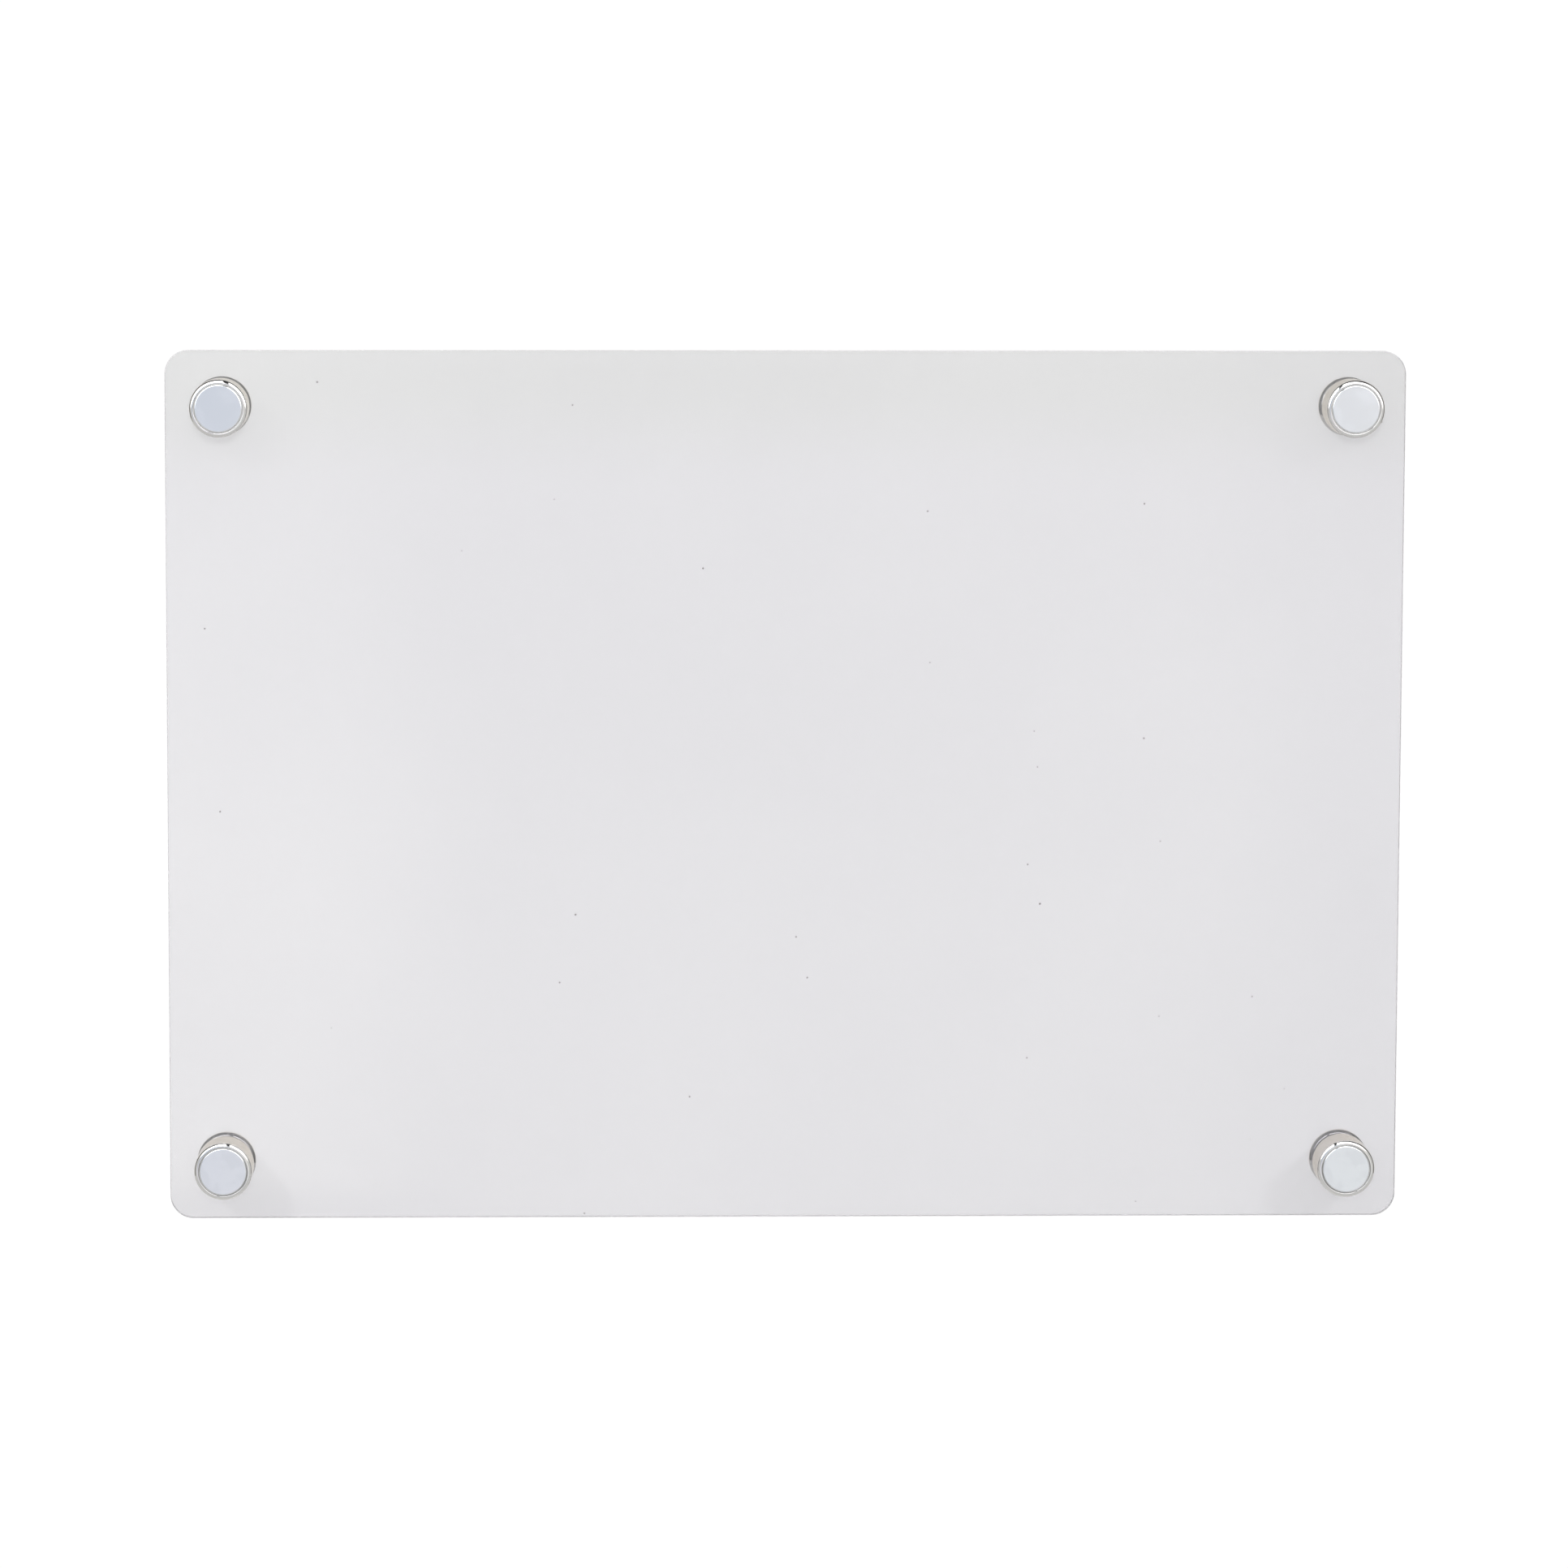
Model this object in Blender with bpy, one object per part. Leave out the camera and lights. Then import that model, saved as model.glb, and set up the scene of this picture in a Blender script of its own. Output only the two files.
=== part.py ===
# Acrylic magnetic board: a clear sheet on four magnetic standoffs that hold it to a steel surface.
# X runs along the width, Z is up, and the magnets face -Y. Left and right are as seen from there.
# The origin is the centre of the whole board. Lengths are in metres.

import math

import bmesh
import bpy

# Sheet: A3, cast acrylic
SHEET_WIDTH = 0.420
SHEET_HEIGHT = 0.297
SHEET_THICKNESS = 0.003
SHEET_CORNER_RADIUS = 0.008
SHEET_EDGE_POLISH = 0.0003
HOLE_INSET = 0.019
HOLE_CHAMFER = 0.0003
HOLE_CLEARANCE = 0.0005

# Disc magnet: 16 mm by 3 mm, plated, so its edges are rounded
MAGNET_RADIUS = 0.008
MAGNET_THICKNESS = 0.003
MAGNET_EDGE_RADIUS = 0.0004
MAGNET_PROUD = 0.0003

# Cup: the turned standoff body, with a pocket for the magnet in front and a tapped bore behind
POCKET_GAP = 0.0004
GLUE_GAP = 0.0002
CUP_WALL = 0.00135
CUP_RIM_LAND = 0.00015
CUP_WEB = 0.0016
CUP_BACK_CHAMFER = 0.0004
CUP_BORE_RUN_OUT = 0.001

# Screw cap on the writing side
CAP_RADIUS = 0.010
CAP_THICKNESS = 0.0035
CAP_FACE_ROUND = 0.0012
CAP_BEVEL_ACROSS = 0.0009
CAP_BEVEL_DEPTH = 0.0011

# Stud: headless, 6 mm, fixed in the cap and screwed into the cup
STUD_RADIUS = 0.003
STUD_CHAMFER = 0.0005
CUP_ENGAGEMENT = 0.008
CAP_ENGAGEMENT = 0.0026

# Clear washers on both faces of the sheet
WASHER_RADIUS = 0.0088
WASHER_THICKNESS = 0.0008
WASHER_CLEARANCE = 0.0003

# Fits and cuts
SEAT_GAP = 0.0002
THREAD_GAP = 0.0002
BORE_CHAMFER = 0.0004
CUT_OVERRUN = 0.001
WELD_DISTANCE = 0.000001

# Counts and angles
TURNED_FACETS = 36
STUD_FACETS = 24
CORNER_STEPS = 8
POLISH_STEPS = 2
ROUND_STEPS = 4
SMALL_ROUND_STEPS = 2
SHARP_ANGLE = math.radians(35)

# Radii of the bores, from what they take
BORE_RADIUS = STUD_RADIUS + THREAD_GAP
POCKET_RADIUS = MAGNET_RADIUS + POCKET_GAP
CUP_RADIUS = POCKET_RADIUS + CUP_WALL
CUP_SHOULDER_RADIUS = CUP_WALL - CUP_RIM_LAND
HOLE_RADIUS = STUD_RADIUS + HOLE_CLEARANCE

# The stack on either side, as distances out from the middle of the sheet
SHEET_FACE = SHEET_THICKNESS / 2
WASHER_SEAT = SHEET_FACE + SEAT_GAP
WASHER_TOP = WASHER_SEAT + WASHER_THICKNESS
METAL_SEAT = WASHER_TOP + SEAT_GAP

CUP_BORE_END = METAL_SEAT + CUP_ENGAGEMENT + CUP_BORE_RUN_OUT
POCKET_FLOOR = CUP_BORE_END + CUP_WEB
MAGNET_BACK = POCKET_FLOOR + GLUE_GAP
MAGNET_FACE = MAGNET_BACK + MAGNET_THICKNESS
CUP_RIM = MAGNET_FACE - MAGNET_PROUD

CAP_BORE_END = METAL_SEAT + CAP_ENGAGEMENT + SEAT_GAP
CAP_FACE = METAL_SEAT + CAP_THICKNESS

# The magnets reach out further than the caps, so the sheet lies behind the origin
SHEET_Y = (MAGNET_FACE - CAP_FACE) / 2

MAGNET_SIDE = -1
CAP_SIDE = 1

CORNERS = {
    "top_left": (-1, 1),
    "top_right": (1, 1),
    "bottom_left": (-1, -1),
    "bottom_right": (1, -1),
}


def clear_scene():
    for item in list(bpy.data.objects):
        bpy.data.objects.remove(item, do_unlink=True)


def make_material(name, colour, roughness, metallic):
    material = bpy.data.materials.new(name)
    material.use_nodes = True
    shader = material.node_tree.nodes["Principled BSDF"]
    shader.inputs["Base Color"].default_value = (*colour, 1)
    shader.inputs["Roughness"].default_value = roughness
    shader.inputs["Metallic"].default_value = metallic
    material.diffuse_color = (*colour, 1)
    return material


def add_object(name, mesh, parent=None):
    item = bpy.data.objects.new(name, mesh)
    bpy.context.scene.collection.objects.link(item)
    item.parent = parent
    return item


def finish_mesh(name, shape, material):
    """Turns the shape into a mesh with its faces outwards, smooth but for its sharp edges."""
    bmesh.ops.remove_doubles(shape, verts=shape.verts, dist=WELD_DISTANCE)
    bmesh.ops.recalc_face_normals(shape, faces=shape.faces)
    mesh = bpy.data.meshes.new(name)
    shape.to_mesh(mesh)
    shape.free()
    mesh.shade_smooth()
    mesh.set_sharp_from_angle(angle=SHARP_ANGLE)
    mesh.materials.append(material)
    return mesh


def quarter_round(centre_radius, centre_out, radius, first_angle, steps):
    """Points of a quarter circle in a turned profile, from first_angle on, counter-clockwise."""
    angles = [first_angle + math.pi / 2 * step / steps for step in range(steps + 1)]
    return [
        (centre_radius + radius * math.cos(angle), centre_out + radius * math.sin(angle))
        for angle in angles
    ]


def turned_mesh(name, profile, side, facets, material):
    """Spins a profile of (radius, distance out from the sheet's middle) about the Y axis.

    A profile that starts on the axis also ends there, and any other one is closed into a ring.
    """
    shape = bmesh.new()
    points = [shape.verts.new((radius, side * out, 0)) for radius, out in profile]
    ends = points[1:] if profile[0][0] == 0 else points[1:] + points[:1]
    lines = [shape.edges.new(pair) for pair in zip(points, ends)]
    bmesh.ops.spin(
        shape,
        geom=points + lines,
        cent=(0, 0, 0),
        axis=(0, 1, 0),
        angle=math.tau,
        steps=facets,
        use_merge=True,
    )
    return finish_mesh(name, shape, material)


def tapped_mouth(bore_end):
    """The blind bore of a cup or cap, from its floor on the axis to the edge of its mouth."""
    return [
        (0, bore_end),
        (BORE_RADIUS, bore_end),
        (BORE_RADIUS, METAL_SEAT + BORE_CHAMFER),
        (BORE_RADIUS + BORE_CHAMFER, METAL_SEAT),
    ]


def cup_profile():
    """Bore, back face, barrel, rounded shoulder, rim and magnet pocket, in one line."""
    back = [
        (CUP_RADIUS - CUP_BACK_CHAMFER, METAL_SEAT),
        (CUP_RADIUS, METAL_SEAT + CUP_BACK_CHAMFER),
    ]
    shoulder = quarter_round(
        CUP_RADIUS - CUP_SHOULDER_RADIUS,
        CUP_RIM - CUP_SHOULDER_RADIUS,
        CUP_SHOULDER_RADIUS,
        0,
        ROUND_STEPS,
    )
    pocket = [(POCKET_RADIUS, CUP_RIM), (POCKET_RADIUS, POCKET_FLOOR), (0, POCKET_FLOOR)]
    return tapped_mouth(CUP_BORE_END) + back + shoulder + pocket


def magnet_profile():
    inner_radius = MAGNET_RADIUS - MAGNET_EDGE_RADIUS
    back_edge = quarter_round(
        inner_radius,
        MAGNET_BACK + MAGNET_EDGE_RADIUS,
        MAGNET_EDGE_RADIUS,
        -math.pi / 2,
        SMALL_ROUND_STEPS,
    )
    front_edge = quarter_round(
        inner_radius,
        MAGNET_FACE - MAGNET_EDGE_RADIUS,
        MAGNET_EDGE_RADIUS,
        0,
        SMALL_ROUND_STEPS,
    )
    return [(0, MAGNET_BACK)] + back_edge + front_edge + [(0, MAGNET_FACE)]


def cap_profile():
    """Bore, seat, the bevel that shows as a dark rim through the sheet, and the rounded face."""
    bevel = [
        (CAP_RADIUS - CAP_BEVEL_ACROSS, METAL_SEAT),
        (CAP_RADIUS, METAL_SEAT + CAP_BEVEL_DEPTH),
    ]
    face_edge = quarter_round(
        CAP_RADIUS - CAP_FACE_ROUND,
        CAP_FACE - CAP_FACE_ROUND,
        CAP_FACE_ROUND,
        0,
        ROUND_STEPS,
    )
    return tapped_mouth(CAP_BORE_END) + bevel + face_edge + [(0, CAP_FACE)]


def stud_profile():
    """From the end in the cup, on the magnet side, to the end in the cap."""
    cup_end = MAGNET_SIDE * (METAL_SEAT + CUP_ENGAGEMENT)
    cap_end = CAP_SIDE * (METAL_SEAT + CAP_ENGAGEMENT)
    return [
        (0, cup_end),
        (STUD_RADIUS - STUD_CHAMFER, cup_end),
        (STUD_RADIUS, cup_end + STUD_CHAMFER),
        (STUD_RADIUS, cap_end - STUD_CHAMFER),
        (STUD_RADIUS - STUD_CHAMFER, cap_end),
        (0, cap_end),
    ]


def washer_profile():
    bore = STUD_RADIUS + WASHER_CLEARANCE
    return [
        (bore, WASHER_SEAT),
        (WASHER_RADIUS, WASHER_SEAT),
        (WASHER_RADIUS, WASHER_TOP),
        (bore, WASHER_TOP),
    ]


def hole_profile():
    """The sheet's hole as a cutter: straight through, with a chamfer at both faces."""
    end = SHEET_FACE + CUT_OVERRUN
    wide = HOLE_RADIUS + HOLE_CHAMFER + CUT_OVERRUN
    straight = SHEET_FACE - HOLE_CHAMFER
    return [
        (0, -end),
        (wide, -end),
        (HOLE_RADIUS, -straight),
        (HOLE_RADIUS, straight),
        (wide, end),
        (0, end),
    ]


def sheet_mesh(material):
    """A slab with its four corners rounded, then both faces' edges polished round."""
    shape = bmesh.new()
    bmesh.ops.create_cube(shape, size=1)
    size = (SHEET_WIDTH, SHEET_THICKNESS, SHEET_HEIGHT)
    bmesh.ops.scale(shape, vec=size, verts=shape.verts)
    corner_edges = [edge for edge in shape.edges if edge.verts[0].co.y != edge.verts[1].co.y]
    bmesh.ops.bevel(
        shape,
        geom=corner_edges,
        offset=SHEET_CORNER_RADIUS,
        segments=CORNER_STEPS,
        profile=0.5,
        affect="EDGES",
    )
    face_edges = [
        edge for edge in shape.edges if edge.verts[0].co.y * edge.verts[1].co.y > 0
    ]
    bmesh.ops.bevel(
        shape,
        geom=face_edges,
        offset=SHEET_EDGE_POLISH,
        segments=POLISH_STEPS,
        profile=0.5,
        affect="EDGES",
    )
    return finish_mesh("board_sheet", shape, material)


def make_corner_axes():
    """One empty for each standoff, on its screw's axis, in the middle plane of the sheet."""
    axes = {}
    for corner, (across, up) in CORNERS.items():
        axis = add_object(f"{corner}_axis", None)
        axis.location = (
            across * (SHEET_WIDTH / 2 - HOLE_INSET),
            SHEET_Y,
            up * (SHEET_HEIGHT / 2 - HOLE_INSET),
        )
        axes[corner] = axis
    return axes


def make_sheet(axes):
    acrylic = make_material("clear_acrylic", (0.76, 0.75, 0.77), 0.06, 0)
    sheet = add_object("board_sheet", sheet_mesh(acrylic))
    sheet.location.y = SHEET_Y
    hole = turned_mesh("hole_cutter", hole_profile(), CAP_SIDE, TURNED_FACETS, acrylic)
    for corner, axis in axes.items():
        cutter = add_object(f"hole_cutter_{corner}", hole, axis)
        cutter.hide_render = True
        cutter.display_type = "WIRE"
        cut = sheet.modifiers.new(f"hole_{corner}", "BOOLEAN")
        cut.operation = "DIFFERENCE"
        cut.object = cutter


def make_standoffs(axes):
    chrome = make_material("chromed_brass", (0.78, 0.78, 0.77), 0.08, 1)
    nickel = make_material("nickel_plate", (0.72, 0.75, 0.79), 0.3, 1)
    steel = make_material("zinc_plated_steel", (0.6, 0.6, 0.6), 0.35, 1)
    clear = make_material("clear_washer", (0.85, 0.85, 0.85), 0.2, 0)
    turned = TURNED_FACETS
    pieces = {
        "magnet_cup": turned_mesh("magnet_cup", cup_profile(), MAGNET_SIDE, turned, chrome),
        "magnet_disc": turned_mesh("magnet_disc", magnet_profile(), MAGNET_SIDE, turned, nickel),
        "cup_washer": turned_mesh("cup_washer", washer_profile(), MAGNET_SIDE, turned, clear),
        "cap_washer": turned_mesh("cap_washer", washer_profile(), CAP_SIDE, turned, clear),
        "screw_cap": turned_mesh("screw_cap", cap_profile(), CAP_SIDE, turned, chrome),
        "threaded_stud": turned_mesh("threaded_stud", stud_profile(), CAP_SIDE, STUD_FACETS, steel),
    }
    for corner, axis in axes.items():
        for name, mesh in pieces.items():
            add_object(f"{name}_{corner}", mesh, axis)


def main():
    clear_scene()
    axes = make_corner_axes()
    make_sheet(axes)
    make_standoffs(axes)


main()
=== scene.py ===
import math

import bmesh
import bpy
from mathutils import Matrix, Quaternion, Vector


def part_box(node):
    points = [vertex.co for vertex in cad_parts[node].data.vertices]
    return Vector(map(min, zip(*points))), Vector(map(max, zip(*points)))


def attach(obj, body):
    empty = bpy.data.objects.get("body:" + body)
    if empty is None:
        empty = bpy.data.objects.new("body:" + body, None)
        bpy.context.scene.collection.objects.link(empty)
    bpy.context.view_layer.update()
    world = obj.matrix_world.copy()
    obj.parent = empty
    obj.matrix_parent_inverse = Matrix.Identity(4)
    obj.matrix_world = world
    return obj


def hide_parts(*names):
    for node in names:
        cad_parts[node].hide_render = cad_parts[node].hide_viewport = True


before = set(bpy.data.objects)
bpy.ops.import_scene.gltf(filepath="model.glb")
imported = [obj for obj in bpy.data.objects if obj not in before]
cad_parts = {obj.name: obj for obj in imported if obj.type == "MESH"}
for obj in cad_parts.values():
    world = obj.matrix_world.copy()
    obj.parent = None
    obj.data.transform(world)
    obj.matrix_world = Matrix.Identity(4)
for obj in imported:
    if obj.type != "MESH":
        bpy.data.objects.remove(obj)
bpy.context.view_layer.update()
print("frame loaded with", len(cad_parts), "CAD nodes")

corners = ["top_left", "top_right", "bottom_left", "bottom_right"]

# Where each standoff's axis meets the middle of the sheet
sheetLow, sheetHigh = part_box("board_sheet")
middleY = (sheetLow.y + sheetHigh.y) / 2
standPlace = {}
for corner in corners:
    low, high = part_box("magnet_cup_" + corner)
    standPlace[corner] = Vector(((low.x + high.x) / 2, middleY, (low.z + high.z) / 2))


def addObject(name, data):
    item = bpy.data.objects.new(name, data)
    bpy.context.scene.collection.objects.link(item)
    return item


# Camera

view = {
    "place": (-0.0694, -1.745, 0.2192),
    "aim": (-0.0327, 0.0, 0.0603),
    "roll": 0.095,  # degrees
    "lens": 118.86,
    "sensor": 36.0,
    "shift": (0.06, -0.11),
    "clip": (0.01, 100),
}


def makeCamera():
    data = bpy.data.cameras.new("productCamera")
    data.sensor_width = view["sensor"]
    data.lens = view["lens"]
    data.shift_x, data.shift_y = view["shift"]
    data.clip_start, data.clip_end = view["clip"]
    camera = addObject("productCamera", data)
    look = Vector(view["aim"]) - Vector(view["place"])
    turn = Quaternion((0, 0, 1), math.radians(view["roll"]))
    camera.rotation_mode = "QUATERNION"
    camera.rotation_quaternion = look.to_track_quat("-Z", "Y") @ turn
    camera.location = view["place"]
    bpy.context.scene.camera = camera


makeCamera()
bpy.context.scene.view_settings.view_transform = "Standard"
print("camera ready")


# Node helpers

def addNode(tree, kind, values=None, **options):
    node = tree.nodes.new(kind)
    for name, value in options.items():
        setattr(node, name, value)
    for name, value in (values or {}).items():
        if isinstance(value, bpy.types.NodeSocket):
            tree.links.new(value, node.inputs[name])
        else:
            node.inputs[name].default_value = value
    return node


def calc(tree, operation, *values, clamp=False):
    return addNode(tree, "ShaderNodeMath", dict(enumerate(values)),
                   operation=operation, use_clamp=clamp).outputs[0]


def remap(tree, value, fromLow, fromHigh, toLow=0.0, toHigh=1.0, kind="SMOOTHSTEP"):
    return addNode(tree, "ShaderNodeMapRange", {
        "Value": value, "From Min": fromLow, "From Max": fromHigh, "To Min": toLow, "To Max": toHigh,
    }, interpolation_type=kind).outputs[0]


def blendColour(tree, share, first, second, how="MIX"):
    return addNode(tree, "ShaderNodeMix", {0: share, 6: first, 7: second},
                   data_type="RGBA", blend_type=how).outputs[2]


def objectPlace(tree):
    return addNode(tree, "ShaderNodeTexCoord").outputs["Object"]


# Turned pieces carry their own axis-centred coordinates, so one metal serves all four corners
def axisPlace(tree):
    return addNode(tree, "ShaderNodeAttribute", attribute_name="axisPlace").outputs["Vector"]


def splitPlace(tree, place):
    return addNode(tree, "ShaderNodeSeparateXYZ", {0: place}).outputs


def joinPlace(tree, *values):
    return addNode(tree, "ShaderNodeCombineXYZ", dict(enumerate(values))).outputs[0]


def lengthOf(tree, place):
    return addNode(tree, "ShaderNodeVectorMath", {0: place}, operation="LENGTH").outputs["Value"]


def addNoise(tree, place, scale, detail, roughness=0.5, distortion=0.0, dimensions="3D"):
    return addNode(tree, "ShaderNodeTexNoise", {
        "Vector": place, "Scale": scale, "Detail": detail, "Roughness": roughness,
        "Distortion": distortion,
    }, noise_dimensions=dimensions).outputs[0]


# A mask that fades in along one or more axes: each fade is an axis and its limits for remap
def fadeMask(tree, axes, *fades):
    masks = [remap(tree, axes[axis], *limits) for axis, *limits in fades]
    mask = masks[0]
    for other in masks[1:]:
        mask = calc(tree, "MULTIPLY", mask, other)
    return mask


# Whether the light path has met such a surface: Glossy for metal, Diffuse for a dull one
def hasBounced(tree, path, kind):
    return calc(tree, "GREATER_THAN", path[kind + " Depth"], 0.5)


# Studio: plain white all round for the camera, a pale floor, and a darker room for the metal

studio = {
    "white": (1.03, 1.03, 1.03, 1),  # what the camera sees behind the board
    "ambient": (0.36, 0.36, 0.36, 1),  # what the room gives to dull surfaces
    # What metal sees of the room, by direction; the front is cooler and dimmer at its upper left
    "around": (0.62, 0.62, 0.615, 1),
    "overhead": (0.05, 0.05, 0.052, 1),
    "sides": (0.045, 0.043, 0.04, 1),
    "frontLow": ((0.965, 0.875, 0.97, 1), (0.90, 1.00, 0.94, 1)),
    "frontHigh": ((0.27, 0.42, 0.59, 1), (1.14, 1.02, 0.95, 1)),
    "back": (1.03, 1.02, 1.005, 1),
    # Which directions each part takes: dark over the camera, and at the sides just behind the board
    "overheadReach": (("Z", 0.15, 0.45), ("wide", 0.75, 0.40), ("Y", 0.70, 0.45)),
    "sidesReach": (("wide", 0.40, 0.62), ("Z", -0.60, -0.25), ("Y", -0.05, 0.07), ("Y", 0.64, 0.48)),
    "frontReach": (("Y", -0.80, -0.95),),
    "frontAcross": (-0.40, 0.48),
    "frontUp": (-0.35, 0.10),
    "backReach": (("Y", 0.60, 0.88),),
}


def makeWorld():
    world = bpy.data.worlds.new("studioRoom")
    world.use_nodes = True
    bpy.context.scene.world = world
    tree = world.node_tree
    tree.nodes.clear()
    way = splitPlace(tree, addNode(tree, "ShaderNodeTexCoord").outputs["Generated"])
    axes = {"Y": way["Y"], "Z": way["Z"], "wide": calc(tree, "ABSOLUTE", way["X"])}
    across = remap(tree, way["X"], *studio["frontAcross"], kind="LINEAR")
    up = remap(tree, way["Z"], *studio["frontUp"], kind="LINEAR")
    rows = [blendColour(tree, across, *studio[row]) for row in ("frontLow", "frontHigh")]
    colours = {**studio, "front": blendColour(tree, up, *rows)}
    room = studio["around"]
    for part in ("overhead", "sides", "front", "back"):
        room = blendColour(tree, fadeMask(tree, axes, *studio[part + "Reach"]), room, colours[part])
    path = addNode(tree, "ShaderNodeLightPath").outputs
    colour = blendColour(tree, hasBounced(tree, path, "Glossy"), studio["white"], room)
    colour = blendColour(tree, hasBounced(tree, path, "Diffuse"), colour, studio["ambient"])
    shade = addNode(tree, "ShaderNodeBackground", {"Color": colour, "Strength": 1.0})
    addNode(tree, "ShaderNodeOutputWorld", {"Surface": shade.outputs[0]})


# Dull and shaded below the board, the floor turns into the plain white of the room further off
floor = {
    "size": 3.0, "height": -0.60,
    "colour": (0.80, 0.80, 0.80, 1), "farColour": (0, 0, 0, 1),
    "paler": (0.64, 0.64, 0.64, 1), "inMetal": (0.33, 0.33, 0.325, 1),  # added to the shading
    "fade": (0.80, 1.25),  # distance from the board's centre
}


def makeFloor():
    material = bpy.data.materials.new("paleFloor")
    material.use_nodes = True
    tree = material.node_tree
    tree.nodes.clear()
    path = addNode(tree, "ShaderNodeLightPath").outputs
    seen = calc(tree, "MAXIMUM", path["Is Camera Ray"], path["Is Transmission Ray"])
    seen = calc(tree, "MAXIMUM", seen, path["Is Glossy Ray"])
    far = remap(tree, lengthOf(tree, objectPlace(tree)), *floor["fade"])
    plain = blendColour(tree, far, floor["paler"], studio["white"])
    mirrored = blendColour(tree, far, floor["inMetal"], studio["around"])
    colour = blendColour(tree, hasBounced(tree, path, "Glossy"), plain, mirrored)
    shaded = blendColour(tree, calc(tree, "MULTIPLY", far, seen), floor["colour"], floor["farColour"])
    dull = addNode(tree, "ShaderNodeBsdfDiffuse", {"Color": shaded})
    added = addNode(tree, "ShaderNodeEmission", {"Color": colour, "Strength": seen})
    both = addNode(tree, "ShaderNodeAddShader", {0: dull.outputs[0], 1: added.outputs[0]})
    addNode(tree, "ShaderNodeOutputMaterial", {"Surface": both.outputs[0]})
    shape = bmesh.new()
    bmesh.ops.create_grid(shape, x_segments=2, y_segments=2, size=floor["size"] / 2)
    bmesh.ops.translate(shape, verts=shape.verts, vec=(0, 0, floor["height"]))
    mesh = bpy.data.meshes.new("studioFloor")
    shape.to_mesh(mesh)
    shape.free()
    mesh.materials.append(material)
    plane = addObject("studioFloor", mesh)


# Two long strips slope down and away from a narrow gap over the camera. Metal alone sees them,
# as bright arcs, and their light narrows and fades towards the outer end
strips = {
    "left": {"inner": (-0.135, 0.60), "outer": (-1.00, 0.05)},  # X and Z of each long edge
    "right": {"inner": (-0.015, 0.60), "outer": (0.85, 0.05)},
    "front": -1.70, "back": -0.08,  # how far they reach along Y
    "radiance": 3.0,
    "widest": 0.8,  # where each reaches furthest out, as a share of the way from front to back
    "narrowing": 0.75, "softness": 0.12,  # how fast its lit part narrows outwards, and its soft rim
    "dimFrom": 0.62,  # share of the way out
}

# Three soft spots light all that isn't metal: two from high on either side, on the lower corners,
# and one from over the camera, on the upper half
spots = {
    "left": {"place": (-1.21, -1.10, 0.97), "aim": (-0.19, 0.0, -0.14), "cone": 16, "radiance": 0.56},
    "right": {"place": (1.36, -1.03, 0.85), "aim": (0.19, 0.0, -0.14), "cone": 16, "radiance": 0.60},
    "front": {"place": (-0.07, -1.72, 0.50), "aim": (0.0, 0.0, 0.36), "cone": 40, "radiance": 0.68},
    "size": 0.11,
}


def placeLamp(name, data, place, turn):
    lamp = addObject(name, data)
    lamp.matrix_world = Matrix.Translation(place) @ turn.to_4x4()
    lamp.visible_camera = False
    return lamp


# A strip's own X runs outwards, and its Y from front to back, or from back to front if turned
def fadeStrip(data, turned):
    data.use_nodes = True
    tree = data.node_tree
    tree.nodes.clear()
    place = splitPlace(tree, addNode(tree, "ShaderNodeNewGeometry").outputs["Parametric"])
    fromFront = calc(tree, "SUBTRACT", 1.0, place["Y"]) if turned else place["Y"]
    fromBack = calc(tree, "SUBTRACT", 1.0, fromFront)
    inside = calc(tree, "MINIMUM",
                  calc(tree, "MULTIPLY", fromFront, 1 / strips["widest"]),
                  calc(tree, "MULTIPLY", fromBack, 1 / (1 - strips["widest"])))
    narrowed = calc(tree, "MULTIPLY_ADD", place["X"], -strips["narrowing"], inside)
    shine = calc(tree, "MULTIPLY",
                 remap(tree, narrowed, 0.0, strips["softness"]),
                 remap(tree, place["X"], 1.0, strips["dimFrom"]))
    glow = addNode(tree, "ShaderNodeEmission", {"Strength": shine})
    addNode(tree, "ShaderNodeOutputLight", {"Surface": glow.outputs[0]})


def makeStrip(side):
    depth = (strips["front"] + strips["back"]) / 2
    inner, outer = [Vector((x, depth, z)) for x, z in (strips[side]["inner"], strips[side]["outer"])]
    across = (outer - inner).normalized()
    along = Vector((0, 1, 0))
    facing = across.cross(along)
    turned = facing.z < 0
    if turned:  # a lamp shines along its own -Z
        facing, along = -facing, -along
    data = bpy.data.lights.new("strip_" + side, "AREA")
    data.shape = "RECTANGLE"
    data.size, data.size_y = (outer - inner).length, strips["back"] - strips["front"]
    data.energy = strips["radiance"] * math.pi * data.size * data.size_y
    fadeStrip(data, turned)
    turn = Matrix((across, along, facing)).transposed()
    lamp = placeLamp("strip_" + side, data, (inner + outer) / 2, turn)
    lamp.visible_diffuse = False


# The radiance here is what a white surface that faces the spot would show at the aim
def makeSpot(side):
    data = bpy.data.lights.new("spot_" + side, "SPOT")
    data.shadow_soft_size = spots["size"]
    data.spot_size = math.radians(spots[side]["cone"])
    data.spot_blend = 1.0
    place = Vector(spots[side]["place"])
    way = Vector(spots[side]["aim"]) - place
    data.energy = spots[side]["radiance"] * 4 * math.pi ** 2 * way.length_squared
    lamp = placeLamp("spot_" + side, data, place, way.to_track_quat("-Z", "Y").to_matrix())
    lamp.visible_glossy = False
    lamp.visible_transmission = False


makeWorld()
makeFloor()
for side in ("left", "right"):
    makeStrip(side)
for side in ("left", "right", "front"):
    makeSpot(side)
print("studio ready")


# Shared effects, as shader node groups

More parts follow.
